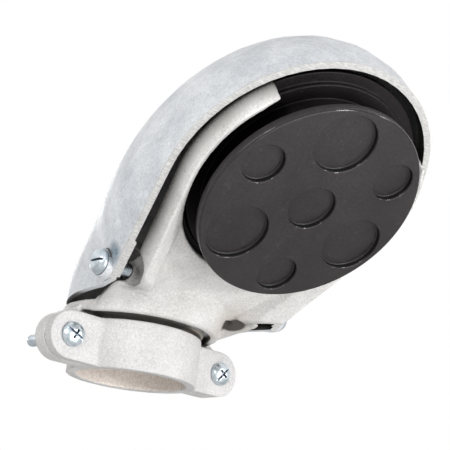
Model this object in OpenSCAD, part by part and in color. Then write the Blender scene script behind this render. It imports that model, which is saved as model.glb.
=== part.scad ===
// Service entrance weatherhead, clamp-on type, for 2-1/2 in rigid conduit.
// Origin: conduit axis at the bottom face of the clamp; +Z up the conduit.
// The knockout insert faces forward (-Y) and down. Millimetres.

/* [Conduit clamp] */
// outside diameter of the service conduit
pipe_d = 73; // [64:0.5:80]
// radial slack of the clamp round the conduit
pipe_slack = 0.5; // [0.2:0.1:1]
// wall of the collar and of the strap
collar_wall = 6.7; // [5:0.1:9]
// height of the collar and of the strap
clamp_h = 32; // [28:0.5:36]
// how far in front of the conduit axis the clamp parts
split_y = 9; // [6:0.5:12]
// open gap between strap ear and body ear
split_gap = 0.8; // [0.4:0.1:3]
// radius of the rounded ears
ear_r = 15.5; // [12:0.5:17]
// clamp screw axis, out from the collar's outer wall
ear_reach = 17.3; // [13:0.1:20]
// thickness of the strap ears
strap_ear_t = 8; // [6:0.5:11]
// thickness of the body ears
body_ear_t = 11.5; // [9:0.5:15]

/* [Screws] */
// shank diameter of all four screws
screw_d = 7.94; // [6:0.02:9]
// head diameter of all four screws
screw_head_d = 15.6; // [13:0.1:18]
// head height of all four screws
screw_head_h = 4.8; // [3.5:0.1:6]
// shank length of the clamp screws
clamp_screw_len = 50.8; // [40:0.2:60]
// shank length of the hood screws
hood_screw_len = 25.4; // [22:0.2:28]
// radial slack of a shank in its tapped hole
thread_slack = 0.05; // [0.02:0.01:0.1]
// radial slack of a shank in its plain hole
hole_slack = 0.1; // [0.06:0.02:0.4]
// gap under a screw head
head_gap = 0.2; // [0.1:0.05:0.3]
// width of the driver slot
slot_w = 1.6; // [1.2:0.1:2.4]
// depth of the driver slot
slot_depth = 2; // [1.2:0.1:2.8]

/* [Head position] */
// insert centre, forward of the conduit axis
head_reach = 158; // [150:1:170]
// insert centre, above the bottom of the clamp
head_z = 92.5; // [88:0.5:104]
// how far the insert faces below the horizon
head_tilt = 52; // [48:0.5:56]

/* [Insert] */
// radius of the front plate
plate_r = 69.2; // [66:0.2:71]
// thickness of the front plate
plate_t = 6; // [5:0.2:8]
// rounding of the front plate's edge
plate_round = 1.4; // [0.5:0.1:2.5]
// how far the drum behind the plate is set in from the plate's edge
drum_inset = 8.2; // [6:0.2:11]
// wall of the drum
drum_wall = 3.5; // [2.5:0.1:5]
// how far the raised land in front of the rear flange stands out past the plate
land_out = 0.8; // [0:0.1:2]
// height of that land
land_h = 2.6; // [1.5:0.1:3.2]
// how far the rear flange reaches behind the fork all round
flange_lap = 3; // [1.5:0.1:4]
// face of the rear flange, behind the front of the plate
flange_depth = 25.7; // [24:0.1:29]
// thickness of the rear flange
flange_t = 4; // [3:0.1:6]
// turn of the knockout pattern about the insert's axis
insert_turn = 15; // [0:1:60]
// radius of the middle knockout
mid_knock_r = 14.8; // [12:0.1:17]
// radius of the three large knockouts
big_knock_r = 19.2; // [16:0.1:21]
// radius of the three small knockouts
small_knock_r = 12.7; // [10:0.1:14]
// plate left between the large knockouts and the plate's edge
big_knock_edge = 3.8; // [3:0.1:8]
// plate left between the small knockouts and the plate's edge
small_knock_edge = 5.1; // [3:0.1:8]
// how deep the knockouts lie in the plate
knock_depth = 3.4; // [2:0.1:4]

/* [Body] */
// radial gap between the front plate and the fork
fork_clear = 4.8; // [4:0.1:5.4]
// thickness of the fork's front edge
fork_edge = 4.5; // [3.5:0.1:6]
// spread of the fork's outer side from front to back
fork_spread = 1.8; // [1:0.1:2.2]
// front of the fork, behind the front of the plate
fork_depth = 8.7; // [7.5:0.1:11]
// how far the two arms wrap above the insert's centre
arm_wrap = 36.5; // [28:0.5:46]
// slope of the fork's straight sides
side_slope = 14.5; // [12:0.5:16]
// thickness of the chin web under the insert
web_t = 5; // [4:0.2:7]
// steeper lean of the web than of the insert
web_lean = 10; // [7:0.5:13]
// depth of the web's front at its foot, behind the plate
web_depth = 25; // [23:0.5:28]
// gap between the strap and the neck above it
neck_gap = 2.5; // [1.5:0.1:5]
// flare of the neck beyond the collar
neck_flare = 10.3; // [8:0.1:12]
// wall of the neck
neck_wall = 5; // [4:0.2:7]
// thickness of the neck's floor
neck_floor = 7; // [5:0.5:9]
// depth of the recess under that floor, round the strap's top
neck_recess = 4.4; // [2:0.2:6]
// forward lean of the neck, per height
neck_lean = 0.75; // [0.6:0.05:0.9]
// slope of the neck's open top edge
neck_cut = 38.5; // [34:0.5:42]
// where that edge starts at the lip, in front of the conduit axis
neck_cut_y = 13; // [8:0.5:16]
// height of the neck wall above its lip
neck_h = 22; // [18:0.5:25]
// width of the stop lip that the conduit end meets
stop_lip = 4; // [2.5:0.5:6]
// width of the inner slope of the fork's straight sides
slope_w = 11.5; // [9:0.5:13]
// floor of the side pockets, out from the middle of the body
pocket_floor = 53; // [51:0.5:55]
// radius of the side pockets
pocket_r = 12; // [10:0.5:13]
// how far the side pockets turn to the front
pocket_turn = 44; // [35:1:50]
// how far the side pockets lift toward the arms
pocket_lift = 20; // [10:1:25]
// radius of the screw bosses in the side pockets
lug_r = 5.8; // [5.5:0.1:7]
// how far the screw bosses stand out of the pockets' floor
lug_h = 0.6; // [0.4:0.2:4]

/* [Hood] */
// wall of the hood
hood_wall = 4.2; // [3:0.1:5]
// radial gap between flange and hood
hood_gap = 4.7; // [4.5:0.1:6.5]
// how much wider than high the hood's rim is, each side
rim_widen = 2.3; // [0:0.1:4]
// drop of the rim's widest place below the insert's centre
rim_drop = 4; // [0:0.5:12]
// rim of the hood, behind the front of the plate
rim_depth = 21.5; // [20:0.5:24]
// bottom edge of the hood, above the bottom of the clamp
foot_z = 44.5; // [42:0.5:46]
// half width of the hood at its front corners
foot_w = 68.5; // [67:0.5:71]
// gap between the collar's back and the hood's back wall
back_gap = 2.7; // [2:0.1:6]
// half width of the hood at the back
back_w = 63; // [60:0.5:66]
// rise of the roof just behind the rim
roof_rise = 16; // [8:1:22]
// reach of the roof above the front corners
roof_mid = 92; // [84:1:100]
// reach of the roof above the conduit
roof_back = 76; // [70:1:84]
// fullness of the back of the hood
roof_heel = 13; // [6:1:18]
// how far the thicker strip stands in from the rim's lower end
pad_h = 1.7; // [0.6:0.1:2.4]
// depth of that strip, back from the rim
pad_deep = 8; // [4:0.5:10]
// share of the rim's straight side that the strip covers
pad_share = 0.37; // [0.2:0.01:0.5]
// height of the screw bosses on the hood
boss_h = 5; // [3:0.5:7]
// hood screw, above the hood's bottom edge
hood_screw_up = 9.5; // [8.5:0.5:12]
// hood screw, behind the hood's front corner
hood_screw_back = 4.5; // [3:0.5:7]

/* [Hidden] */
$fn = 96;

seat_gap = 0.3;
// longer than anything that a cutting block has to pass through
far = 4 * head_reach;
bore_r = pipe_d / 2 + pipe_slack;
collar_r = bore_r + collar_wall;
screw_x = collar_r + ear_reach;
screw_z = clamp_h / 2;
shank_r = screw_d / 2;
strap_face = split_y + split_gap + strap_ear_t;

neck_z = clamp_h + neck_gap;
neck_r = collar_r + neck_flare;
neck_top = neck_z + neck_h;

open_r = plate_r + fork_clear;
flange_r = open_r + flange_lap;
land_r = plate_r + land_out;
drum_r = plate_r - drum_inset;
big_knock_at = plate_r - big_knock_edge - big_knock_r;
small_knock_at = plate_r - small_knock_edge - small_knock_r;
ridge_r = open_r + fork_edge;
fork_r = ridge_r + fork_spread;
fork_back = flange_depth - seat_gap;

// front corner of the hood: where the rim plane meets the bottom plane
corner_y = -head_reach + (rim_depth - sin(head_tilt) * (foot_z - head_z)) / cos(head_tilt);
corner_v = -sin(head_tilt) * (corner_y + head_reach) + cos(head_tilt) * (foot_z - head_z);
rim_r = flange_r + hood_gap + hood_wall;
rim_fan = 90 - head_tilt;
hood_screw_y = corner_y + hood_screw_back;
hood_screw_z = foot_z + hood_screw_up;
boss_face = foot_w + boss_h;

// frame of the insert: x across, y up the face, z out of the face
module on_head() {
    translate([0, -head_reach, head_z]) rotate([90 + head_tilt, 0, 0]) children();
}

module both_sides() {
    children();
    mirror([1, 0, 0]) children();
}

// ---------------------------------------------------------------- hood form

function bez3(c, u) = c[0] * pow(1 - u, 3) + 3 * c[1] * pow(1 - u, 2) * u
    + 3 * c[2] * (1 - u) * u * u + c[3] * pow(u, 3);
function bez5(c, u) = c[0] * pow(1 - u, 5) + 5 * c[1] * pow(1 - u, 4) * u
    + 10 * c[2] * pow(1 - u, 3) * u * u + 10 * c[3] * pow(1 - u, 2) * pow(u, 3)
    + 5 * c[4] * (1 - u) * pow(u, 4) + c[5] * pow(u, 5);

back_reach = collar_r + back_gap + hood_wall - corner_y;
// reach, half width and widest height of each section of the fan
reach_ctl = [rim_r - corner_v, rim_r - corner_v + roof_rise, roof_mid, roof_back,
             back_reach + roof_heel, back_reach];
width_ctl = [rim_r + rim_widen, rim_r + 1, back_w - 9.5, back_w];
rise_ctl = [-corner_v - rim_drop, 26, 28, 21];

fan_steps = 30;
arc_steps = 32;
// the rim's round part runs on below its widest place, until its tangent meets the front corner
heel_x = foot_w / width_ctl[0];
heel_y = rise_ctl[0] / (rim_r + rim_drop);
rim_lap = atan2(heel_y, heel_x) - acos(1 / norm([heel_x, heel_y]));

// one point of the hood's skin: u goes from rim to back, s across from left to right
function skin(u, s, off) =
    let (fan = rim_fan + (180 - rim_fan) * u,
         reach = bez5(reach_ctl, u),
         wide = bez3(width_ctl, u),
         rise = bez3(rise_ctl, u),
         lap = rim_lap * pow(1 - u, 4),
         turn = -lap + (180 + 2 * lap) * s,
         q = rise + (reach - off - rise) * sin(turn))
    [-(wide - off) * cos(turn), corner_y - q * cos(fan), foot_z + q * sin(fan)];
function heel(side, off) = [side * (foot_w - off), corner_y, foot_z];
function ring(u, off) = concat([heel(-1, off)],
    [for (k = [0:arc_steps]) skin(u, k / arc_steps, off)], [heel(1, off)]);

// the hood's shell as one lofted skin, open at the rim and at the bottom
module hood_shell() {
    n = arc_steps + 3;
    m = fan_steps;
    pts = concat([heel(-1, 0), heel(1, 0), heel(-1, hood_wall), heel(1, hood_wall)],
        [for (off = [0, hood_wall], i = [0:m], k = [0:arc_steps]) skin(i / m, k / arc_steps, off)]);
    w = arc_steps + 1;
    function at(layer, i, k) = 4 + layer * (m + 1) * w + i * w + k;
    outer = concat(
        [for (i = [0:m - 1], k = [0:arc_steps - 1]) [at(0, i, k), at(0, i + 1, k), at(0, i, k + 1)]],
        [for (i = [0:m - 1], k = [0:arc_steps - 1]) [at(0, i, k + 1), at(0, i + 1, k), at(0, i + 1, k + 1)]],
        [for (i = [0:m - 1]) [0, at(0, i + 1, 0), at(0, i, 0)]],
        [for (i = [0:m - 1]) [1, at(0, i, arc_steps), at(0, i + 1, arc_steps)]]);
    inner = concat(
        [for (i = [0:m - 1], k = [0:arc_steps - 1]) [at(1, i, k), at(1, i, k + 1), at(1, i + 1, k)]],
        [for (i = [0:m - 1], k = [0:arc_steps - 1]) [at(1, i, k + 1), at(1, i + 1, k + 1), at(1, i + 1, k)]],
        [for (i = [0:m - 1]) [2, at(1, i, 0), at(1, i + 1, 0)]],
        [for (i = [0:m - 1]) [3, at(1, i + 1, arc_steps), at(1, i, arc_steps)]]);
    rim = concat(
        [for (k = [0:arc_steps - 1]) [at(0, 0, k), at(0, 0, k + 1), at(1, 0, k)]],
        [for (k = [0:arc_steps - 1]) [at(0, 0, k + 1), at(1, 0, k + 1), at(1, 0, k)]],
        [[0, at(0, 0, 0), 2], [2, at(0, 0, 0), at(1, 0, 0)]],
        [[1, 3, at(0, 0, arc_steps)], [3, at(1, 0, arc_steps), at(0, 0, arc_steps)]]);
    base = concat(
        [for (k = [0:arc_steps - 1]) [at(0, m, k), at(1, m, k), at(0, m, k + 1)]],
        [for (k = [0:arc_steps - 1]) [at(0, m, k + 1), at(1, m, k), at(1, m, k + 1)]],
        [[0, 2, at(0, m, 0)], [2, at(1, m, 0), at(0, m, 0)]],
        [[1, at(0, m, arc_steps), 3], [3, at(0, m, arc_steps), at(1, m, arc_steps)]]);
    polyhedron(points = pts, faces = concat(outer, inner, rim, base), convexity = 6);
}

module hood_boss_form(from, r1, r2, h) {
    translate([from, hood_screw_y, hood_screw_z]) rotate([0, 90, 0]) cylinder(r1 = r1, r2 = r2, h = h);
}

// thicker strip inside the rim's lower end, from the front corner up
module rim_pad() {
    in_foot = [foot_w - hood_wall, corner_v];
    in_side = [(width_ctl[0] - hood_wall) * cos(rim_lap), -rim_drop - (rim_r - hood_wall + rim_drop) * sin(rim_lap)];
    up = in_side - in_foot;
    out = [up[1], -up[0]] / norm(up);
    low = in_foot + 0.03 * up;
    high = in_foot + pad_share * up;
    difference() {
        on_head() translate([0, 0, -rim_depth - pad_deep]) linear_extrude(pad_deep)
            polygon([low + 2 * out, high + 2 * out, high - pad_h * out * 0.2, high - 1.2 * up / norm(up) - pad_h * out,
                     low - pad_h * out]);
        translate([-far, -far, foot_z + 0.2 - 2 * far]) cube(2 * far);
    }
}

module hood() {
    color([0.80, 0.82, 0.84])
    difference() {
        union() {
            hood_shell();
            both_sides() rim_pad();
            difference() {
                both_sides() hood_boss_form(foot_w - hood_wall + 1.2, screw_head_d / 2 + 3.5,
                                            screw_head_d / 2 + 0.8, boss_face - foot_w + hood_wall - 1.2);
                // nothing of a boss stands in front of the rim or below the bottom edge
                on_head() translate([-far, -far, -rim_depth - 0.3]) cube(2 * far);
                translate([-far, -far, foot_z + 0.3 - 2 * far]) cube(2 * far);
            }
        }
        both_sides() translate([foot_w - 2 * hood_wall, hood_screw_y, hood_screw_z])
            rotate([0, 90, 0]) cylinder(r = shank_r + hole_slack, h = boss_h + 4 * hood_wall);
    }
}

// --------------------------------------------------------------------- body

// section of an arm: distance from the insert's axis, depth
module arm_section() {
    polygon([[open_r - 2, -fork_back], [open_r - 2, -fork_depth - slope_drop(ridge_r - open_r + 2)],
             [ridge_r - 1, -fork_depth - slope_drop(1)], [ridge_r, -fork_depth - 1.4],
             [fork_r, -rim_depth], [fork_r, -fork_back]]);
}

// how far the fork's inner slope has dropped at a distance in from its ridge
function slope_drop(w) = 0.58 * w;

// section of a straight side, with the long slope down to the web
module side_section() {
    polygon([[ridge_r - slope_w - 5, -fork_back], [ridge_r - slope_w - 5, -fork_back + 2],
             [ridge_r - slope_w, -fork_depth - slope_drop(slope_w)],
             [ridge_r - 1, -fork_depth - slope_drop(1)], [ridge_r, -fork_depth - 1.4],
             [fork_r, -rim_depth], [fork_r, -fork_back]]);
}

// section of the block behind the foot of a straight side
module block_section() {
    polygon([[ridge_r - slope_w - 5, -fork_back + 1], [ridge_r - 4, -fork_depth - 5],
             [fork_r - 1, -rim_depth], [fork_r, -rim_depth - 1], [fork_r, -rim_depth - block_t],
             [ridge_r - slope_w - 5, -rim_depth - block_t]]);
}

// block behind the foot of each straight side: its thickness and length
block_t = 14;
block_len = 29;
// how far the screw bosses run in behind the pockets' floor
lug_back = 7;
// overlap of the web and the front corners, past the hood's bottom edge
foot_past = 8;
// more than the depth of everything that belongs to the insert's seat
head_deep = 80;
side_len = (-corner_v - ridge_r * sin(side_slope)) / cos(side_slope) + foot_past - 2;
block_start = side_len - block_len;

// curved arm up past the insert's centre, with a round finger tip
module arm() {
    intersection() {
        rotate([0, 0, -side_slope]) rotate_extrude(angle = arm_wrap + side_slope + 8) arm_section();
        union() {
            rotate([0, 0, -side_slope - 1]) rotate_extrude(angle = arm_wrap + side_slope + 1)
                translate([open_r - 4, -fork_back - 1]) square([fork_r - open_r + 6, fork_back + 1]);
            rotate([0, 0, arm_wrap]) translate([(open_r + fork_r) / 2, 0, -fork_back - 1])
                cylinder(r = (fork_r - open_r) / 2 + 0.4, h = fork_back + 1);
        }
    }
}

module fork_side() {
    rotate([0, 0, -side_slope]) rotate([90, 0, 0]) {
        linear_extrude(side_len) side_section();
        translate([0, 0, block_start]) linear_extrude(side_len - block_start) block_section();
    }
}

// outline of everything between the fork's sides
module chin_outline() {
    x1 = (ridge_r - 3) * cos(side_slope);
    y1 = (ridge_r - 3) * sin(side_slope);
    y2 = -corner_v + foot_past;
    x2 = x1 - (y2 - y1) * tan(side_slope);
    polygon([[-x1, -y1], [x1, -y1], [x2, -y2], [-x2, -y2]]);
}

// slab of the web, hung at its foot and leaning more than the insert
module web_slab() {
    foot_v = corner_v + foot_past;
    translate([0, foot_v, -web_depth]) rotate([web_lean, 0, 0])
        translate([-far, -far, -web_t]) cube([2 * far, 2 * far, web_t]);
}

// leaning tube of the neck, taken in by a distance all round
module neck_form(in, low, high) {
    hull() {
        translate([0, -neck_lean * (low - neck_z), low]) cylinder(r = neck_r - in, h = 0.1);
        translate([0, -neck_lean * (high - neck_z), high - 0.1]) cylinder(r = neck_r - in, h = 0.1);
    }
}

// recess in front of the collar line, between the stop lip and the skirt of the neck
module neck_groove() {
    intersection() {
        rotate_extrude() translate([collar_r + 0.8, neck_z - 1])
            square([neck_r - neck_wall - collar_r - 0.8, neck_recess + 1]);
        translate([-far, -2 * far - split_y, 0]) cube(2 * far);
    }
}

module neck() {
    difference() {
        intersection() {
            neck_form(0, neck_z, neck_top);
            union() {
                translate([0, -neck_cut_y, neck_z]) rotate([-neck_cut, 0, 0]) translate([-far, -far, -2 * far])
                    cube(2 * far);
                translate([-far, -far, neck_z]) cube([2 * far, 2 * far, neck_floor]);
            }
        }
        neck_form(neck_wall, neck_z + neck_floor, neck_top + 4);
        translate([0, 0, neck_z - 1]) cylinder(r = bore_r - stop_lip, h = neck_floor + 2);
        neck_groove();
    }
}

// web under each wing, from the neck's wall out to the front corner
module gusset() {
    at_neck = neck_r - neck_wall / 2;
    hull() {
        translate([at_neck * cos(22), -at_neck * sin(22) - 2 * neck_lean, neck_z + 2])
            cylinder(r = neck_wall / 2 - 0.2, h = 1);
        translate([foot_w - hood_wall - 9.5, corner_y + 9, foot_z + 0.9]) cylinder(r = 4.7, h = 2);
        translate([foot_w - hood_wall - 21, corner_y + 11, foot_z + 0.9]) cylinder(r = 4, h = 2);
    }
}

module body_ear() {
    translate([screw_x, -split_y, screw_z]) rotate([-90, 0, 0]) cylinder(r = ear_r, h = body_ear_t);
    translate([0, -split_y, screw_z]) rotate([-90, 0, 0]) linear_extrude(body_ear_t)
        polygon([[bore_r + 1, ear_r], [screw_x, ear_r], [screw_x + (ear_r - 0.6) * cos(50), -(ear_r - 0.6) * sin(50)],
                 [neck_r - 2, -(neck_z + neck_wall - screw_z)], [bore_r + 1, -(neck_z + 1 - screw_z)]]);
}

// round scoop in the outside of each wing, opening outward and forward round the screw boss
module pocket() {
    translate([pocket_floor, hood_screw_y - 2, hood_screw_z + 2.5]) rotate([90 + head_tilt, 0, 0])
        rotate([-pocket_lift, 90 - pocket_turn, 0]) cylinder(r = pocket_r, h = 40);
}

module lug() {
    translate([pocket_floor - lug_back, hood_screw_y, hood_screw_z]) rotate([0, 90, 0])
        cylinder(r = lug_r, h = lug_back + lug_h);
}

module body() {
    color([0.72, 0.71, 0.69])
    difference() {
        union() {
            // rear half of the collar with its ears
            difference() {
                union() {
                    intersection() {
                        cylinder(r = collar_r, h = neck_z + 1);
                        translate([-far, -split_y, 0]) cube(2 * far);
                    }
                    both_sides() body_ear();
                }
                translate([0, 0, -1]) cylinder(r = bore_r, h = neck_z + 1);
                cylinder(r = bore_r - stop_lip + 0.5, h = neck_z + 3);
            }
            neck();
            both_sides() gusset();
            difference() {
                union() {
                    // chin web between the fork's sides
                    intersection() {
                        on_head() web_slab();
                        on_head() translate([0, 0, -head_deep]) linear_extrude(head_deep) chin_outline();
                    }
                    on_head() both_sides() fork_side();
                    on_head() both_sides() arm();
                }
                on_head() translate([0, 0, -head_deep]) cylinder(r = open_r, h = head_deep + 20);
                on_head() translate([0, 0, -head_deep]) cylinder(r = flange_r + 0.5, h = head_deep - fork_back - 0.05);
                translate([-far, -2 * far, foot_z - 2 * far]) cube(2 * far);
                both_sides() pocket();
            }
            both_sides() lug();
        }
        // tapped holes
        both_sides() translate([screw_x, -split_y - 1, screw_z]) rotate([-90, 0, 0])
            cylinder(r = shank_r + thread_slack, h = body_ear_t + 2);
        both_sides() translate([pocket_floor - 2 * lug_back, hood_screw_y, hood_screw_z])
            rotate([0, 90, 0]) cylinder(r = shank_r + thread_slack, h = 4 * lug_back);
    }
}

// -------------------------------------------------------------------- strap

module clamp_strap() {
    color([0.76, 0.75, 0.73])
    difference() {
        union() {
            intersection() {
                cylinder(r = collar_r, h = clamp_h);
                translate([-far, -2 * far - split_y - split_gap, 0]) cube(2 * far);
            }
            both_sides() {
                translate([screw_x, -strap_face, screw_z]) rotate([-90, 0, 0])
                    cylinder(r = ear_r, h = strap_ear_t);
                translate([bore_r - 4, -strap_face, screw_z - ear_r])
                    cube([screw_x - bore_r + 4, strap_ear_t, 2 * ear_r]);
            }
        }
        translate([0, 0, -1]) cylinder(r = bore_r, h = clamp_h + 2);
        both_sides() translate([screw_x, -strap_face - 1, screw_z]) rotate([-90, 0, 0])
            cylinder(r = shank_r + hole_slack, h = strap_ear_t + 2);
    }
}

// ------------------------------------------------------------------- insert

module insert() {
    color([0.25, 0.24, 0.24])
    on_head() rotate([0, 0, insert_turn]) {
        difference() {
            rotate_extrude() polygon(concat(
                [[0, 0]],
                [for (a = [0:15:90]) [plate_r - plate_round + plate_round * sin(a),
                                      -plate_round + plate_round * cos(a)]],
                [[plate_r, -plate_t], [drum_r, -plate_t], [drum_r, -flange_depth + land_h],
                 [land_r, -flange_depth + land_h], [land_r + 0.6, -flange_depth],
                 [flange_r, -flange_depth], [flange_r, -flange_depth - flange_t],
                 [drum_r - drum_wall, -flange_depth - flange_t], [drum_r - drum_wall, -plate_t],
                 [0, -plate_t]]));
            translate([0, 0, -knock_depth]) {
                cylinder(r = mid_knock_r, h = plate_t);
                for (a = [90:120:330]) rotate([0, 0, a]) {
                    translate([big_knock_at, 0, 0]) cylinder(r = big_knock_r, h = plate_t);
                    rotate([0, 0, 60]) translate([small_knock_at, 0, 0])
                        cylinder(r = small_knock_r, h = plate_t);
                }
            }
        }
    }
}

// ------------------------------------------------------------------- screws

// pan head on top, shank down the -z side, under-head plane at z = 0
module screw(len, crossed) {
    r = screw_head_d / 2;
    h = screw_head_h;
    difference() {
        rotate_extrude() polygon([[0, -len], [shank_r - 0.8, -len], [shank_r, -len + 0.8], [shank_r, 0],
            [r, 0], [r, h * 0.35], [r - 0.25 * h, h * 0.72], [r - 0.62 * h, h * 0.94],
            [r - 1.1 * h, h], [0, h]]);
        translate([-r - 1, -slot_w / 2, h - slot_depth]) cube([2 * r + 2, slot_w, slot_depth + 1]);
        if (crossed) translate([-slot_w / 2, -0.45 * r, h - slot_depth - 0.6])
            cube([slot_w, 0.9 * r, slot_depth + 2]);
    }
}

module clamp_screw(side, turn) {
    translate([side * screw_x, -strap_face - head_gap, screw_z]) rotate([90, turn, 0])
        screw(clamp_screw_len, true);
}

module clamp_screw_left() {
    color([0.78, 0.80, 0.82]) clamp_screw(-1, 25);
}

module clamp_screw_right() {
    color([0.78, 0.80, 0.82]) clamp_screw(1, -50);
}

module hood_screw(side) {
    translate([side * (boss_face + head_gap), hood_screw_y, hood_screw_z])
        rotate([0, side * 90, 0]) rotate([0, 0, 90]) screw(hood_screw_len, false);
}

module hood_screw_left() {
    color([0.78, 0.80, 0.82]) hood_screw(-1);
}

module hood_screw_right() {
    color([0.78, 0.80, 0.82]) hood_screw(1);
}

body();
hood();
insert();
clamp_strap();
clamp_screw_left();
clamp_screw_right();
hood_screw_left();
hood_screw_right();
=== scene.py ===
import math

import bmesh
import bpy
from mathutils import Matrix, Vector


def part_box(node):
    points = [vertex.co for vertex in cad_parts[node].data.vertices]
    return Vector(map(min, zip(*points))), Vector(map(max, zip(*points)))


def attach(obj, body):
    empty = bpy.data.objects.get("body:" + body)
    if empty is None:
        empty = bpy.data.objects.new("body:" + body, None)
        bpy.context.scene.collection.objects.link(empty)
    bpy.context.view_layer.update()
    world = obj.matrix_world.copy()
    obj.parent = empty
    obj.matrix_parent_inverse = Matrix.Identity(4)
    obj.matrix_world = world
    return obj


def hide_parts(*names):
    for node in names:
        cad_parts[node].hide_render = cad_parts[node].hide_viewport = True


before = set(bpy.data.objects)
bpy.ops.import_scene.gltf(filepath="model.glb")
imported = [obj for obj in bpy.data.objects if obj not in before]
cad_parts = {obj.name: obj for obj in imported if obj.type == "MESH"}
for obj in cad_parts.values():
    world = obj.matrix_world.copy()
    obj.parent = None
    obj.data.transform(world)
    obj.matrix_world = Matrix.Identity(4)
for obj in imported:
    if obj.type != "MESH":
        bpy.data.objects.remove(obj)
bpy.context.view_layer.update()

MM = 0.001

# The head's own frame: where the insert's face is centred, and which way it faces.
HEAD_TILT = math.radians(52.0)
HEAD_CENTRE = Vector((0.0, -0.158, 0.0925))
HEAD_FACING = Vector((0.0, -math.cos(HEAD_TILT), -math.sin(HEAD_TILT)))

# The CAD's sizes that the finishes go by. Depths run back from the insert's face.
RIM_DEPTH = 21.5 * MM
PLATE_THICKNESS = 6.0 * MM
PLATE_ROUND = 1.4 * MM
PLATE_FLAT_RADIUS = 67.8 * MM
KNOCKOUTS_RADIUS = 66.5 * MM
RECESS_DEPTH = 3.4 * MM
RIDGE_RADIUS = 78.5 * MM
BORE_RADIUS = 37.0 * MM
CLAMP_HEIGHT = 32.0 * MM
HOOD_MIDDLE = Vector((0.0, -0.080, 0.105))
ARM_ENDS = ((-0.0610, -0.1900, 0.1300), (0.0610, -0.1900, 0.1300))

# The screws' sizes.
SHANK_RADIUS = 3.97 * MM
THREAD_DEPTH = 0.78 * MM
THREAD_PITCH = 1.411 * MM
HEAD_HEIGHT = 4.8 * MM

# Widths of the small rounds on sharp edges.
HOOD_ROUND = 0.6 * MM
INSERT_ROUND = 0.8 * MM
SCREW_ROUND = 0.25 * MM

# Spots of painted shade and reflection: the middle, and the radii at which the spot starts to fade
# and ends.
SCREW_SHADE_REFLECTION = ((0.0726, -0.0680, 0.0585), 3.5 * MM, 9.0 * MM)
SCREW_POCKET_SHADE = ((0.0485, -0.0575, 0.0505), 6.0 * MM, 10.5 * MM)
WING_SHADOW = ((0.0430, -0.0480, 0.0435), 7.2 * MM, 9.5 * MM)
WING_BROWN_SHADE = ((0.0400, -0.0470, 0.0470), 6.0 * MM, 27.0 * MM)
NECK_SHADE_SPOT = ((-0.0440, -0.0160, 0.0356), 2.0 * MM, 9.0 * MM)


def rgb(red, green, blue):
    return (red, green, blue, 1.0)


# ------------------------------------------------------------------ camera

def place_camera():
    """Looks up at the insert from the front left, rolled a little, with a long lens."""
    azimuth, elevation, roll = math.radians(-38.87), math.radians(-18.47), math.radians(7.0)
    back = Vector((math.sin(azimuth) * math.cos(elevation),
                   -math.cos(azimuth) * math.cos(elevation), math.sin(elevation)))
    right = Vector((math.cos(azimuth), math.sin(azimuth), 0.0))
    up = back.cross(right)
    side = math.cos(roll) * right + math.sin(roll) * up
    top = -math.sin(roll) * right + math.cos(roll) * up
    data = bpy.data.cameras.new("view")
    data.sensor_width = 36.0
    data.lens = 82.2
    data.clip_start = 0.01
    data.clip_end = 20.0
    camera = bpy.data.objects.new("view", data)
    turn = Matrix((side, top, back)).transposed().to_4x4()
    camera.matrix_world = Matrix.Translation(Vector((-0.3920, -0.5658, -0.1122))) @ turn
    bpy.context.scene.collection.objects.link(camera)
    bpy.context.scene.camera = camera


# ------------------------------------------------------------- node helpers

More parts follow.
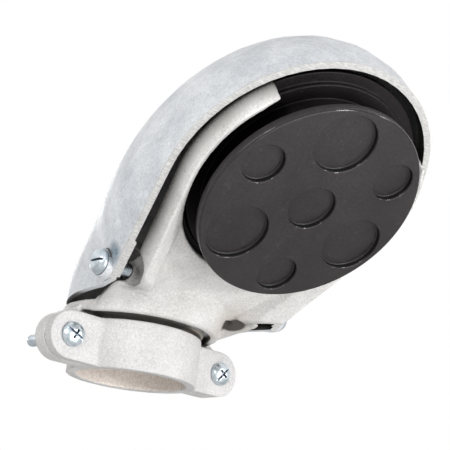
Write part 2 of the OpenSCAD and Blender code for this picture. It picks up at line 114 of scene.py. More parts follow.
class Sheet:
    """Short words for laying nodes on a node tree."""

    def __init__(self, tree):
        self.tree = tree

    def node(self, kind, **settings):
        made = self.tree.nodes.new(kind)
        for name, value in settings.items():
            setattr(made, name, value)
        return made

    def join(self, source, target):
        self.tree.links.new(source, target)

    def feed(self, socket, value):
        """Links a socket to another one, or gives it a plain value."""
        if isinstance(value, bpy.types.NodeSocket):
            self.join(value, socket)
        else:
            socket.default_value = value

    def place(self):
        """Where the point stands, as one vector."""
        return self.node("ShaderNodeTexCoord").outputs["Object"]

    def maths(self, operation, a, b=0.0, clamp=False):
        made = self.node("ShaderNodeMath", operation=operation, use_clamp=clamp)
        self.feed(made.inputs[0], a)
        self.feed(made.inputs[1], b)
        return made.outputs[0]

    def product(self, first, *others):
        """Several values multiplied. Of masks, it is the part that they share."""
        for other in others:
            first = self.maths("MULTIPLY", first, other)
        return first

    def largest(self, first, *others):
        """The largest of several values. Of masks, it is all that they cover together."""
        for other in others:
            first = self.maths("MAXIMUM", first, other)
        return first

    def vector_maths(self, operation, a, b):
        """A dot product or a distance."""
        made = self.node("ShaderNodeVectorMath", operation=operation)
        self.feed(made.inputs[0], a)
        self.feed(made.inputs[1], b)
        return made.outputs["Value"]

    def span(self, value, low, high, to_low=0.0, to_high=1.0, ease="LINEAR"):
        """Carries low..high over to to_low..to_high, and holds still beyond both."""
        made = self.node("ShaderNodeMapRange", interpolation_type=ease)
        self.feed(made.inputs["Value"], value)
        self.feed(made.inputs["From Min"], low)
        self.feed(made.inputs["From Max"], high)
        self.feed(made.inputs["To Min"], to_low)
        self.feed(made.inputs["To Max"], to_high)
        return made.outputs["Result"]

    def fall(self, value, low, high):
        """A mask that is 1 below low and 0 above high."""
        return self.span(value, low, high, 1.0, 0.0)

    def between(self, mask, bare, covered):
        """One value where the mask is 0, and another where it is 1."""
        return self.span(mask, 0.0, 1.0, bare, covered)

    def tint(self, factor, a, b, blend="MIX"):
        """Mixes colour a toward colour b."""
        made = self.node("ShaderNodeMix", data_type="RGBA", blend_type=blend)
        self.feed(made.inputs[0], factor)
        self.feed(made.inputs[6], a)
        self.feed(made.inputs[7], b)
        return made.outputs[2]

    def stained(self, colour, mask, strength, painted_reflection):
        """Lays a stain over a colour where the mask is, at a share of its full strength."""
        return self.tint(self.product(mask, strength), colour, painted_reflection)

    def scaled(self, colour, amount):
        """A colour multiplied by a value."""
        return self.tint(1.0, colour, amount, "MULTIPLY")

    def noise(self, vector, scale, detail, roughness=0.55):
        made = self.node("ShaderNodeTexNoise")
        self.join(vector, made.inputs["Vector"])
        self.feed(made.inputs["Scale"], scale)
        made.inputs["Detail"].default_value = detail
        made.inputs["Roughness"].default_value = roughness
        return made.outputs["Fac"]

    def drawn_out(self, vector, scale):
        """A place scaled along each axis, so that a noise on it draws out into streaks."""
        made = self.node("ShaderNodeMapping")
        made.inputs["Scale"].default_value = scale
        self.join(vector, made.inputs["Vector"])
        return made.outputs["Vector"]

    def blend(self, factor, first, second):
        """The first shader where the factor is 0, and the second where it is 1."""
        made = self.node("ShaderNodeMixShader")
        for socket, source in zip(made.inputs, (factor, first, second)):
            self.join(source, socket)
        return made.outputs[0]


# ----------------------------------------------------------- shared patterns

def new_group(name, inputs, outputs):
    """An empty shader node group with named value sockets."""
    group = bpy.data.node_groups.new(name, "ShaderNodeTree")
    for label, value in inputs.items():
        socket = group.interface.new_socket(name=label, in_out="INPUT",
                                            socket_type="NodeSocketFloat")
        socket.default_value = value
    for label in outputs:
        group.interface.new_socket(name=label, in_out="OUTPUT", socket_type="NodeSocketFloat")
    sheet = Sheet(group)
    return group, sheet, sheet.node("NodeGroupInput").outputs, sheet.node("NodeGroupOutput").inputs


def cast_grain_group():
    """Fine sand grain, slow mottling and stray specks of a cast or moulded skin."""
    group, sheet, given, result = new_group(
        "cast grain", {"Grain": 900.0, "Mottle": 45.0}, ("Grain", "Mottle", "Specks"))
    place = sheet.place()
    grain = sheet.noise(place, given["Grain"], 3.0, 0.6)
    mottle = sheet.noise(place, given["Mottle"], 5.0, 0.6)
    coarse = sheet.noise(place, sheet.product(given["Grain"], 0.35), 2.0, 0.7)
    sheet.join(grain, result["Grain"])
    sheet.join(sheet.span(mottle, 0.3, 0.7), result["Mottle"])
    sheet.join(sheet.span(coarse, 0.62, 0.75), result["Specks"])
    return group


def edge_wear_and_sheen_group():
    """Finds outer edges, as a mask that is 1 where a corner has been rubbed and where a painted
    highlight lies along it.
    """
    group, sheet, given, result = new_group(
        "edge wear and sheen", {"Radius": 0.0012, "Break up": 120.0}, ("Edge",))
    rounded = sheet.node("ShaderNodeBevel", samples=6)
    sheet.join(given["Radius"], rounded.inputs["Radius"])
    plain = sheet.node("ShaderNodeNewGeometry")
    match = sheet.vector_maths("DOT_PRODUCT", rounded.outputs["Normal"], plain.outputs["Normal"])
    worn_lit_edge = sheet.span(match, 0.995, 0.90)
    broken = sheet.span(sheet.noise(sheet.place(), given["Break up"], 3.0), 0.35, 0.6, 0.35, 1.0)
    sheet.join(sheet.maths("MULTIPLY", worn_lit_edge, broken, clamp=True), result["Edge"])
    return group


def crevice_group():
    """Finds gaps and inner corners, as a mask that is 1 where dirt and shade collect."""
    group, sheet, given, result = new_group(
        "crevice", {"Reach": 0.008, "Shut": 0.25, "Open": 0.75}, ("Crevice",))
    hidden = sheet.node("ShaderNodeAmbientOcclusion", samples=8)
    sheet.join(given["Reach"], hidden.inputs["Distance"])
    crevice = sheet.span(hidden.outputs["AO"], given["Shut"], given["Open"], 1.0, 0.0,
                         ease="SMOOTHSTEP")
    sheet.join(crevice, result["Crevice"])
    return group


GRAIN = cast_grain_group()
WEAR_AND_SHEEN = edge_wear_and_sheen_group()
CREVICE = crevice_group()


def place_group(sheet, group, **values):
    """Sets one of the groups on the sheet, and returns its outputs."""
    made = sheet.node("ShaderNodeGroup", node_tree=group)
    for label, value in values.items():
        made.inputs[label].default_value = value
    return made.outputs


# ----------------------------------------------- places on the part, as nodes

def position(sheet):
    """The point's X, Y and Z as three sockets."""
    parts = sheet.node("ShaderNodeSeparateXYZ")
    sheet.join(sheet.place(), parts.inputs[0])
    return parts.outputs["X"], parts.outputs["Y"], parts.outputs["Z"]


def height_over_head(sheet):
    """How far the point stands out from the insert's face."""
    along = sheet.vector_maths("DOT_PRODUCT", sheet.place(), HEAD_FACING)
    return sheet.maths("SUBTRACT", along, HEAD_CENTRE.dot(HEAD_FACING))


def from_head_axis(sheet, height):
    """The point's distance from the axis of the round insert."""
    reach = sheet.vector_maths("DISTANCE", sheet.place(), HEAD_CENTRE)
    across = sheet.maths("SUBTRACT", sheet.product(reach, reach), sheet.product(height, height))
    return sheet.maths("SQRT", across)


def from_pipe_axis(sheet):
    """The point's distance from the conduit's axis."""
    x, y, _ = position(sheet)
    return sheet.maths("SQRT", sheet.maths("ADD", sheet.product(x, x), sheet.product(y, y)))


def near_spot(sheet, spot, inner, outer):
    """A mask that is 1 in a ball about the spot."""
    return sheet.fall(sheet.vector_maths("DISTANCE", sheet.place(), spot), inner, outer)


def near_spots(sheet, spot, inner, outer):
    """A mask that is 1 in a ball about the spot, and about its mirror image across X = 0."""
    x, y, z = position(sheet)
    folded = sheet.node("ShaderNodeCombineXYZ")
    for socket, source in zip(folded.inputs, (sheet.maths("ABSOLUTE", x), y, z)):
        sheet.join(source, socket)
    return sheet.fall(sheet.vector_maths("DISTANCE", folded.outputs["Vector"], spot), inner, outer)


# ----------------------------------------------------------------- finishes

def new_material(name):
    material = bpy.data.materials.new(name)
    material.use_nodes = True
    return material, Sheet(material.node_tree), material.node_tree.nodes["Principled BSDF"]


def relief(sheet, shader, height, depth):
    """Lets a pattern catch the light as fine relief of the given depth."""
    bump = sheet.node("ShaderNodeBump")
    bump.inputs["Distance"].default_value = depth
    sheet.join(height, bump.inputs["Height"])
    sheet.join(bump.outputs["Normal"], shader.inputs["Normal"])


def mottled(sheet, skin, dark, pale, speckle):
    """Dark and pale patches, with the sand grain's light and shade over them."""
    patch = sheet.tint(skin["Mottle"], dark, pale)
    return sheet.scaled(patch, sheet.span(skin["Grain"], 0.32, 0.68, 1.0 - speckle, 1.0 + speckle))


def rough_bore(sheet, skin, colour, gloss, dirt_and_shade):
    """Inside the clamp the casting is left rough, and a little brown."""
    _, _, z = position(sheet)
    inside = sheet.product(
        sheet.fall(from_pipe_axis(sheet), BORE_RADIUS + 0.3 * MM, BORE_RADIUS + 0.9 * MM),
        sheet.span(z, 0.4 * MM, 0.9 * MM),
        sheet.fall(z, CLAMP_HEIGHT - 1.4 * MM, CLAMP_HEIGHT - 0.8 * MM))
    brown = sheet.tint(sheet.span(skin["Grain"], 0.35, 0.65),
                       rgb(0.74, 0.655, 0.58), rgb(1.0, 0.925, 0.865))
    dirt_and_shade = sheet.product(dirt_and_shade, sheet.between(inside, 1.0, 0.2))
    return sheet.tint(inside, colour, brown), gloss, dirt_and_shade


def ground_rim(sheet, skin, colour, gloss, dirt_and_shade):
    """The hood: faint streaks, a painted blue reflection and shade by each screw, and a scratched
    rim ground flat.
    """
    flat = sheet.span(height_over_head(sheet), -RIM_DEPTH - 0.7 * MM, -RIM_DEPTH - 0.35 * MM)
    place = sheet.place()
    scratches = sheet.noise(sheet.drawn_out(place, (0.25, 1.0, 1.0)), 1100.0, 3.0, 0.7)
    rim = sheet.tint(sheet.span(scratches, 0.3, 0.7),
                     rgb(0.43, 0.425, 0.415), rgb(0.71, 0.705, 0.69))
    streaks = sheet.noise(sheet.drawn_out(place, (1.0, 0.35, 1.0)), 260.0, 4.0, 0.6)
    streaks = sheet.span(streaks, 0.35, 0.65)
    # A painted blue-black reflection and shade by each hood screw.
    painted_reflection = sheet.product(near_spots(sheet, *SCREW_SHADE_REFLECTION), sheet.between(streaks, 0.5, 1.0))
    colour = sheet.stained(colour, painted_reflection, 0.9, rgb(0.09, 0.17, 0.22))
    colour = sheet.scaled(colour, sheet.between(streaks, 0.955, 1.045))
    colour = sheet.tint(flat, colour, rim)
    gloss = sheet.maths("ADD", gloss, sheet.product(flat, 0.08))
    return colour, gloss, sheet.product(dirt_and_shade, sheet.between(flat, 1.0, 0.3))


def painted_shade_corners(sheet, skin, colour, gloss, dirt_and_shade):
    """The body gets painted shade under its neck, beside the fork and in one wing's corner."""
    grain = skin["Grain"]
    height = height_over_head(sheet)
    x, y, z = position(sheet)

    # Painted shade between the fork's arms and the hood, darkest at the hood's rim.
    shade_beside_fork = sheet.product(
        sheet.span(height, -RIM_DEPTH, -RIM_DEPTH + 9.0 * MM, 0.95, 0.0),
        sheet.span(from_head_axis(sheet, height), RIDGE_RADIUS - 1.3 * MM, RIDGE_RADIUS + 0.1 * MM),
        sheet.span(y, -0.060, -0.100),
        sheet.span(sheet.maths("ABSOLUTE", x), 56.0 * MM, 61.0 * MM),
        sheet.span(grain, 0.35, 0.65, 0.75, 1.0))

    # Painted shade: a black hollow in the right wing's corner with brown shade around it, and a
    # brown-grey shade on the left of the neck.
    corner = sheet.product(near_spot(sheet, *WING_SHADOW), sheet.between(skin["Mottle"], 0.93, 1.0))
    colour = sheet.stained(colour, near_spot(sheet, *WING_BROWN_SHADE), 0.60, rgb(0.50, 0.44, 0.38))
    colour = sheet.stained(colour, near_spot(sheet, *NECK_SHADE_SPOT), 0.55, rgb(0.34, 0.31, 0.28))

    # Painted shade in the gap under the neck: brown along its whole length, and black but for the
    # right side.
    shade_under_neck = sheet.product(
        sheet.fall(z, CLAMP_HEIGHT + 3.5 * MM, CLAMP_HEIGHT + 4.1 * MM),
        sheet.span(z, CLAMP_HEIGHT + 0.6 * MM, CLAMP_HEIGHT + 1.0 * MM),
        sheet.span(y, 6.0 * MM, 3.0 * MM),
        sheet.fall(from_pipe_axis(sheet), 47.6 * MM, 49.6 * MM))
    brown = sheet.tint(sheet.span(grain, 0.35, 0.65), rgb(0.22, 0.19, 0.17), rgb(0.44, 0.40, 0.36))
    colour = sheet.tint(shade_under_neck, colour, brown)
    shade_under_neck = sheet.product(shade_under_neck, sheet.span(x, 8.0 * MM, 20.0 * MM, 1.0, 0.15))

    # Painted grey shade in the pocket by each hood screw.
    pocket_shade_grey = sheet.tint(sheet.span(grain, 0.3, 0.7), rgb(0.24, 0.235, 0.23), rgb(0.46, 0.455, 0.45))
    colour = sheet.stained(colour, near_spots(sheet, *SCREW_POCKET_SHADE), 0.8, pocket_shade_grey)
    colour, gloss, dirt_and_shade = rough_bore(sheet, skin, colour, gloss, dirt_and_shade)
    return colour, gloss, sheet.largest(dirt_and_shade, shade_beside_fork, corner, shade_under_neck)


def cast_metal(name, pale, dark, worn_and_lit, metal, rough, grain, depth, reach, shut, clear,
               dirt_and_shade_colour=rgb(0.05, 0.045, 0.04), speckle=0.14, shine=0.3, special=None):
    """Bare cast aluminium: patches, sand grain, crevices darkened by dirt and painted shade, and
    corners lightened by wear and a painted highlight.

    Crevices are found within reach, and are fully darkened by dirt and painted shade at shut and
    left clear at clear. The special function changes colour, gloss and the dirt and shade mask
    where the casting isn't the same all over.
    """
    material, sheet, shader = new_material(name)
    skin = place_group(sheet, GRAIN, Grain=grain, Mottle=45.0)
    worn_lit_edge = place_group(sheet, WEAR_AND_SHEEN, Radius=1.4 * MM)["Edge"]
    dirt_and_shade = place_group(sheet, CREVICE, Reach=reach, Shut=shut, Open=clear)["Crevice"]
    speck = rgb(*(0.62 * part for part in dark[:3]))
    colour = mottled(sheet, skin, dark, pale, speckle)
    colour = sheet.stained(colour, skin["Specks"], 0.30, speck)
    # Corners are lighter, partly from wear and partly as a painted highlight.
    colour = sheet.stained(colour, worn_lit_edge, 0.6, worn_and_lit)
    gloss = sheet.between(skin["Mottle"], rough + 0.05, rough - 0.05)
    gloss = sheet.maths("SUBTRACT", gloss, sheet.product(worn_lit_edge, 0.12))
    if special:
        colour, gloss, dirt_and_shade = special(sheet, skin, colour, gloss, dirt_and_shade)
    clean_and_unshaded = sheet.maths("SUBTRACT", 1.0, dirt_and_shade)
    # Dirt and painted shade darken the crevices toward the dirt and shade colour.
    sheet.join(sheet.tint(dirt_and_shade, colour, dirt_and_shade_colour), shader.inputs["Base Color"])
    sheet.join(sheet.largest(gloss, sheet.product(dirt_and_shade, 0.8)), shader.inputs["Roughness"])
    sheet.join(sheet.product(clean_and_unshaded, metal), shader.inputs["Metallic"])
    shader.inputs["Specular IOR Level"].default_value = shine
    height = sheet.maths("ADD", skin["Grain"], sheet.product(skin["Specks"], -0.6))
    relief(sheet, shader, height, depth)
    return material


def moulded_plastic(name, shine):
    """Black phenolic: satin, dusty, glossier at its corners, with painted shade in its recesses."""
    material, sheet, shader = new_material(name)
    skin = place_group(sheet, GRAIN, Grain=700.0, Mottle=30.0)
    rubbed_and_lit = place_group(sheet, WEAR_AND_SHEEN, Radius=0.7 * MM)["Edge"]
    shade = place_group(sheet, CREVICE, Reach=30.0 * MM, Shut=0.20, Open=0.72)["Crevice"]
    colour = mottled(sheet, skin, rgb(0.015, 0.0125, 0.0131), rgb(0.027, 0.0225, 0.0238), 0.30)
    colour = sheet.stained(colour, skin["Specks"], 0.13, rgb(0.14, 0.13, 0.13))
    # Corners are lighter, partly from wear and partly as a painted highlight.
    colour = sheet.stained(colour, rubbed_and_lit, 0.45, rgb(0.20, 0.20, 0.20))

    height = height_over_head(sheet)
    radius = from_head_axis(sheet, height)
    among = sheet.fall(radius, KNOCKOUTS_RADIUS, KNOCKOUTS_RADIUS + 0.5 * MM)
    # The knockouts' walls, between their floors and the rounds at their edges, get near-black
    # painted shade.
    shaded_wall = sheet.product(
        sheet.span(height, -RECESS_DEPTH + 0.1 * MM, -RECESS_DEPTH + 0.4 * MM),
        sheet.fall(height, -INSERT_ROUND - 0.15 * MM, -INSERT_ROUND), among)
    # The plate's front and the knockouts' floors get less painted shade than deeper places.
    front = sheet.span(height, -RECESS_DEPTH - 0.5 * MM, -RECESS_DEPTH - 0.3 * MM)
    front = sheet.product(front, among)
    shade = sheet.product(shade, sheet.between(front, 1.0, 0.15))
    # Painted shade: near black in crevices and on the knockouts' walls.
    colour = sheet.tint(sheet.largest(shade, shaded_wall), colour, rgb(0.0015, 0.0013, 0.0013))
    sheet.join(colour, shader.inputs["Base Color"])

    # The rounds at the plate's rim and the knockouts' edges shine, and the flat face doesn't.
    rim = sheet.product(
        sheet.span(radius, PLATE_FLAT_RADIUS - 0.4 * MM, PLATE_FLAT_RADIUS - 0.1 * MM),
        sheet.span(height, -PLATE_ROUND - 0.2 * MM, -PLATE_ROUND - 0.1 * MM))
    edges = sheet.span(height, -INSERT_ROUND - 0.02 * MM, -INSERT_ROUND + 0.04 * MM)
    rounds = sheet.product(sheet.largest(edges, rim),
                           sheet.fall(height, -0.05 * MM, -0.02 * MM))
    gloss = sheet.between(rounds, sheet.span(skin["Grain"], 0.3, 0.7, 0.36, 0.46), 0.11)
    gloss = sheet.largest(gloss, sheet.product(shaded_wall, 0.6))
    sheet.join(gloss, shader.inputs["Roughness"])
    shader.inputs["Specular IOR Level"].default_value = shine
    relief(sheet, shader, skin["Grain"], 0.04 * MM)
    return material


def plated_steel(name):
    """Bright zinc plate: cool, with small dull patches and painted shade in its crevices."""
    material, sheet, shader = new_material(name)
    skin = place_group(sheet, GRAIN, Grain=1500.0, Mottle=220.0)
    rubbed_and_lit = place_group(sheet, WEAR_AND_SHEEN, Radius=0.5 * MM)["Edge"]
    shade = place_group(sheet, CREVICE, Reach=3.0 * MM, Shut=0.3, Open=0.8)["Crevice"]
    colour = sheet.tint(skin["Mottle"], rgb(0.42, 0.50, 0.54), rgb(0.76, 0.82, 0.86))
    # Corners are lighter, partly from wear and partly as a painted highlight.
    colour = sheet.stained(colour, rubbed_and_lit, 0.5, rgb(0.92, 0.95, 0.97))
    # Painted dark blue shade in the crevices.
    colour = sheet.tint(shade, colour, rgb(0.09, 0.11, 0.16))
    sheet.join(colour, shader.inputs["Base Color"])
    shader.inputs["Metallic"].default_value = 0.85
    sheet.join(sheet.between(skin["Mottle"], 0.36, 0.24), shader.inputs["Roughness"])
    relief(sheet, shader, skin["Grain"], 0.03 * MM)
    return material


# ------------------------------------------------------------------ shapes

class Shape:
    """Opens a mesh for editing, and writes it back at the end."""

    def __init__(self, mesh):
        self.mesh = mesh
        self.shape = bmesh.new()

    def __enter__(self):
        self.shape.from_mesh(self.mesh)
        return self.shape

    def __exit__(self, *_):
        self.shape.to_mesh(self.mesh)
        self.shape.free()


def pointed(place, way):
    """A placing that puts the origin at a place and turns Z to point a given way."""
    return Matrix.Translation(place) @ way.to_track_quat("Z", "Y").to_matrix().to_4x4()


def merged_copy(node, name):
    """A welded copy of a CAD solid."""
    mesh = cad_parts[node].data.copy()
    mesh.name = name
    with Shape(mesh) as shape:
        bmesh.ops.remove_doubles(shape, verts=shape.verts, dist=0.002 * MM)
        bmesh.ops.dissolve_degenerate(shape, edges=shape.edges, dist=0.001 * MM)
        bmesh.ops.recalc_face_normals(shape, faces=shape.faces)
    piece = bpy.data.objects.new(name, mesh)
    bpy.context.scene.collection.objects.link(piece)
    return piece


def bake_modifiers(piece):
    """Applies whatever modifiers the piece has."""
    ready = piece.evaluated_get(bpy.context.evaluated_depsgraph_get())
    mesh = bpy.data.meshes.new_from_object(ready)
    piece.modifiers.clear()
    old = piece.data
    piece.data = mesh
    bpy.data.meshes.remove(old)


def shade_smooth(piece, sharp_from=None):
    """Shades all faces smooth, except across edges sharper than an angle in degrees."""
    piece.data.polygons.foreach_set("use_smooth", [True] * len(piece.data.polygons))
    if sharp_from:
        piece.data.set_sharp_from_angle(angle=math.radians(sharp_from))


def cast_skin(node, name, voxel, rounds):
    """A casting's skin: the solid remeshed finely and relaxed, so that its corners are soft."""
    piece = merged_copy(node, name)
    remesh = piece.modifiers.new("remesh", "REMESH")
    remesh.mode = "VOXEL"
    remesh.voxel_size = voxel
    relax = piece.modifiers.new("relax", "SMOOTH")
    relax.factor = 0.5
    relax.iterations = rounds
    bake_modifiers(piece)
    low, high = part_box(node)
    for vert in piece.data.vertices:
        vert.co = Vector(min(max(v, a), b) for v, a, b in zip(vert.co, low, high))
    shade_smooth(piece)
    return piece


def blunt(piece, spot, reach, rounds):
    """Rounds off one end of a casting by relaxing the skin near a spot, ever closer to it."""
    with Shape(piece.data) as shape:
        for share in (1.0, 0.8, 0.6):
            near = [vert for vert in shape.verts
                    if (vert.co - Vector(spot)).length < share * reach]
            for _ in range(rounds):
                bmesh.ops.smooth_vert(shape, verts=near, factor=0.5,
                                      use_axis_x=True, use_axis_y=True, use_axis_z=True)


def broken_edges(node, name, width):
    """The solid with its flat faces made whole and a small round on each sharp edge."""
    piece = merged_copy(node, name)
    with Shape(piece.data) as shape:
        bmesh.ops.dissolve_limit(shape, angle_limit=math.radians(0.6), verts=shape.verts,
                                 edges=shape.edges, use_dissolve_boundaries=False)
    bevel = piece.modifiers.new("broken edges", "BEVEL")
    bevel.width = width
    bevel.segments = 3
    bevel.limit_method = "ANGLE"
    bevel.angle_limit = math.radians(35.0)
    bake_modifiers(piece)
    shade_smooth(piece, sharp_from=40.0)
    return piece


def level_faces(piece):
    """Keeps flat faces flat in their shading, so that only the rounds beside them turn."""
    level = piece.modifiers.new("level faces", "WEIGHTED_NORMAL")
    level.weight = 100
    level.keep_sharp = True
    bake_modifiers(piece)


def cut_flat(shape, place, way, **side):
    """Cuts a closed shape at a plane, clears one side of it and closes the cut."""
    everything = shape.verts[:] + shape.edges[:] + shape.faces[:]
    cut = bmesh.ops.bisect_plane(shape, geom=everything, dist=1e-7,
                                 plane_co=place, plane_no=way, **side)
    ring = [item for item in cut["geom_cut"] if isinstance(item, bmesh.types.BMEdge)]
    bmesh.ops.contextual_create(shape, geom=ring)


def threaded_shank(shape, length):
    """Adds a threaded rod along -Z, from just above 0 down to -length, with a tapered end."""
    overlap, taper, shrink = 0.4 * MM, 1.6 * MM, 0.22
    root, crest = SHANK_RADIUS - THREAD_DEPTH, SHANK_RADIUS
    # One turn's outline: radii, each at its share of the pitch.
    outline = ((root, 0.0), (root, 0.12), (crest, 0.44), (crest, 0.56), (root, 0.88), (root, 1.0))
    turns = int(length / THREAD_PITCH) + 3
    steps = 20
    verts = [shape.verts.new((radius, 0.0, share * THREAD_PITCH + THREAD_PITCH))
             for radius, share in outline]
    edges = [shape.edges.new(pair) for pair in zip(verts, verts[1:])]
    bmesh.ops.spin(shape, geom=verts + edges, cent=(0, 0, 0), axis=(0, 0, 1),
                   dvec=(0, 0, -THREAD_PITCH / steps), angle=math.tau * turns,
                   steps=steps * turns, use_merge=False, use_duplicate=False)
    bmesh.ops.remove_doubles(shape, verts=shape.verts, dist=0.001 * MM)
    cut_flat(shape, (0, 0, overlap), (0, 0, 1.0), clear_outer=True)
    cut_flat(shape, (0, 0, -length), (0, 0, -1.0), clear_outer=True)
    for vert in shape.verts:
        past = max(0.0, -vert.co.z - (length - taper)) / taper
        vert.co.x *= 1.0 - shrink * past
        vert.co.y *= 1.0 - shrink * past


def threaded_bolt(node, name, under_head, way):
    """A CAD screw's head with its edges broken, on a shank with real threads."""
    piece = broken_edges(node, name, SCREW_ROUND)
    under_head, way = Vector(under_head), Vector(way)
    along = [(Vector(corner) - under_head).dot(way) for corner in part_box(node)]
    rod = bpy.data.meshes.new("rod")
    with Shape(rod) as shape:
        threaded_shank(shape, max(-reach for reach in along if reach < 0.0))
        bmesh.ops.transform(shape, matrix=pointed(under_head, way), verts=shape.verts)
    with Shape(piece.data) as shape:
        cut_flat(shape, under_head - 0.3 * MM * way, way, clear_inner=True)
        shape.from_mesh(rod)
        bmesh.ops.recalc_face_normals(shape, faces=shape.faces)
    bpy.data.meshes.remove(rod)
    shade_smooth(piece, sharp_from=38.0)
    return piece


def fit(piece, node, body, material):
    """Gives a piece its finish, hides the CAD part it stands for, and hangs it on the body it rides
    on.
    """
    piece.data.materials.clear()
    piece.data.materials.append(material)
    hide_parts(node)
    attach(piece, body)


def second_finish(piece, material, chosen):
    """Gives another finish to the faces that the test picks."""
    piece.data.materials.append(material)
    for face in piece.data.polygons:
        if chosen(face):
            face.material_index = 1


# --------------------------------------------------------- lights and floor

def area_lamp(name, place, size, watts):
    """A round lamp that points at the middle of the part."""
    data = bpy.data.lights.new(name, "AREA")
    data.shape = "DISK"
    data.size = size
    data.energy = watts
    lamp = bpy.data.objects.new(name, data)
    away = Vector(place) - Vector((0.0, -0.08, 0.08))
    lamp.matrix_world = pointed(Vector(place), away.normalized())
    bpy.context.scene.collection.objects.link(lamp)


def white_room(strength):
    """Plain white surroundings: soft light for the object, clean white behind it."""
    world = bpy.data.worlds.new("white room")
    bpy.context.scene.world = world
    world.use_nodes = True
    sheet = Sheet(world.node_tree)
    world.node_tree.nodes.clear()
    output = sheet.node("ShaderNodeOutputWorld")
    light = sheet.node("ShaderNodeBackground")
    ray = sheet.node("ShaderNodeLightPath").outputs
    seen = sheet.largest(ray["Is Camera Ray"], ray["Is Glossy Ray"], ray["Is Transmission Ray"])
    light.inputs["Color"].default_value = rgb(1.0, 1.0, 1.0)
    sheet.join(sheet.between(seen, strength, 1.0), light.inputs["Strength"])
    sheet.join(light.outputs[0], output.inputs["Surface"])


def pale_floor(height):
    """A plain pale floor well below the part, clear when seen from underneath."""
    mesh = bpy.data.meshes.new("floor")
    with Shape(mesh) as shape:
        bmesh.ops.create_grid(shape, x_segments=1, y_segments=1, size=4.0)
        bmesh.ops.translate(shape, verts=shape.verts, vec=(0.0, 0.0, height))
    floor = bpy.data.objects.new("floor", mesh)
    bpy.context.scene.collection.objects.link(floor)
    material, sheet, shader = new_material("pale floor")
    shader.inputs["Base Color"].default_value = rgb(0.82, 0.82, 0.82)
    shader.inputs["Roughness"].default_value = 0.85
    glow = sheet.node("ShaderNodeEmission")
    glow.inputs["Color"].default_value = rgb(0.96, 0.96, 0.96)
    clear = sheet.node("ShaderNodeBsdfTransparent")
    seen = sheet.node("ShaderNodeLightPath").outputs["Is Camera Ray"]
    from_below = sheet.node("ShaderNodeNewGeometry").outputs["Backfacing"]
    above = sheet.blend(sheet.product(seen, 0.88), shader.outputs[0], glow.outputs[0])
    surface = sheet.blend(from_below, above, clear.outputs[0])
    sheet.join(surface, material.node_tree.nodes["Material Output"].inputs["Surface"])
    mesh.materials.append(material)


# ------------------------------------------------------------------ the part

hood_finish = cast_metal(
    "tumbled cast aluminium", pale=rgb(0.77, 0.79, 0.815), dark=rgb(0.58, 0.60, 0.63),
    worn_and_lit=rgb(0.78, 0.78, 0.77), metal=0.15, rough=0.42, grain=650.0, depth=0.10 * MM,
    reach=16.0 * MM, shut=0.3, clear=0.8, speckle=0.12, special=ground_rim)
body_finish = cast_metal(
    "bare cast aluminium", pale=rgb(0.76, 0.75, 0.735), dark=rgb(0.60, 0.585, 0.57),
    worn_and_lit=rgb(0.86, 0.85, 0.83), metal=0.12, rough=0.5, grain=800.0, depth=0.18 * MM,
    reach=12.0 * MM, shut=0.15, clear=0.6, special=painted_shade_corners)
strap_finish = cast_metal(
    "sand-grained cast aluminium", pale=rgb(0.67, 0.66, 0.655), dark=rgb(0.58, 0.57, 0.57),
    worn_and_lit=rgb(0.78, 0.77, 0.76), metal=0.08, rough=0.6, grain=800.0, depth=0.20 * MM,
    reach=8.0 * MM, shut=0.1, clear=0.5, special=rough_bore)
insert_finish = moulded_plastic("black moulded phenolic", shine=0.4)
shaded_finish = moulded_plastic("dull black phenolic", shine=0.12)
# A dark copy of the cast finish, painted as shade on the hood's inner faces.
inner_shade_finish = cast_metal(
    "shaded inner cast aluminium", pale=rgb(0.34, 0.345, 0.35), dark=rgb(0.22, 0.225, 0.23),
    worn_and_lit=rgb(0.45, 0.45, 0.45), metal=0.0, rough=0.7, grain=500.0, depth=0.20 * MM,
    reach=30.0 * MM, shut=0.4, clear=1.0, dirt_and_shade_colour=rgb(0.008, 0.007, 0.006), shine=0.10)
screw_finish = plated_steel("zinc plated steel")

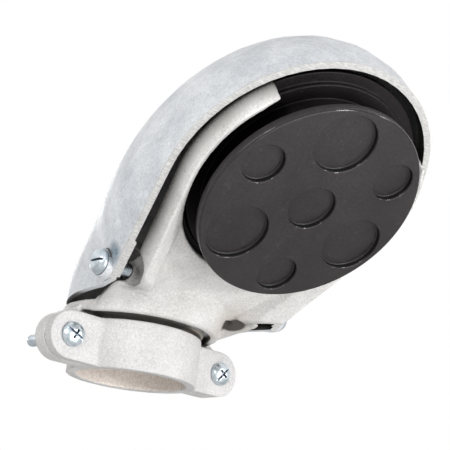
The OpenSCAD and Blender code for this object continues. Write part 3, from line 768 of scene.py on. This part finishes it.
place_camera()
white_room(0.44)
pale_floor(-0.22)
for name, place, size, watts in (
        ("key", (-0.83, -0.60, 0.25), 0.14, 1.9),
        ("front", (0.18, -1.00, -0.06), 0.13, 3.1),
        ("right", (0.595, -0.95, 0.22), 0.16, 1.5),
        ("left", (-0.90, -0.30, 0.25), 0.5, 2.0),
        ("below", (0.05, -0.40, -0.20), 0.4, 0.95),
        ("back", (0.45, 0.95, 0.40), 0.5, 2.0)):
    area_lamp(name, place, size, watts)

body = cast_skin("body", "body_casting", 1.0 * MM, 4)
for spot in ARM_ENDS:
    blunt(body, spot, 11.0 * MM, 12)
fit(body, "body", "head", body_finish)
hood = broken_edges("hood", "hood_casting", HOOD_ROUND)
level_faces(hood)
fit(hood, "hood", "head", hood_finish)
# The hood's inner faces get the dark copy, as painted shade.
second_finish(hood, inner_shade_finish,
              lambda face: face.normal.dot(face.center - HOOD_MIDDLE) < 0.0)
insert = broken_edges("insert", "insert_moulding", INSERT_ROUND)
level_faces(insert)
fit(insert, "insert", "head", insert_finish)
# The moulding's faces behind the plate get the duller copy, as painted shade.
second_finish(insert, shaded_finish,
              lambda face: (face.center - HEAD_CENTRE).dot(HEAD_FACING)
              < -PLATE_THICKNESS - 0.2 * MM)
strap = cast_skin("clamp_strap", "clamp_strap_casting", 0.7 * MM, 5)
fit(strap, "clamp_strap", "strap", strap_finish)
for side, sign in (("left", -1.0), ("right", 1.0)):
    low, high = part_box("clamp_screw_" + side)
    seat = (0.5 * (low[0] + high[0]), low[1] + HEAD_HEIGHT, 0.5 * (low[2] + high[2]))
    fit(threaded_bolt("clamp_screw_" + side, "clamp_bolt_" + side, seat, (0.0, -1.0, 0.0)),
        "clamp_screw_" + side, "screw_" + side, screw_finish)
    low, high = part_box("hood_screw_" + side)
    outer = low[0] if sign < 0.0 else high[0]
    seat = (outer - sign * HEAD_HEIGHT, 0.5 * (low[1] + high[1]), 0.5 * (low[2] + high[2]))
    fit(threaded_bolt("hood_screw_" + side, "hood_bolt_" + side, seat, (sign, 0.0, 0.0)),
        "hood_screw_" + side, "head", screw_finish)

bpy.context.scene.view_settings.view_transform = "Standard"
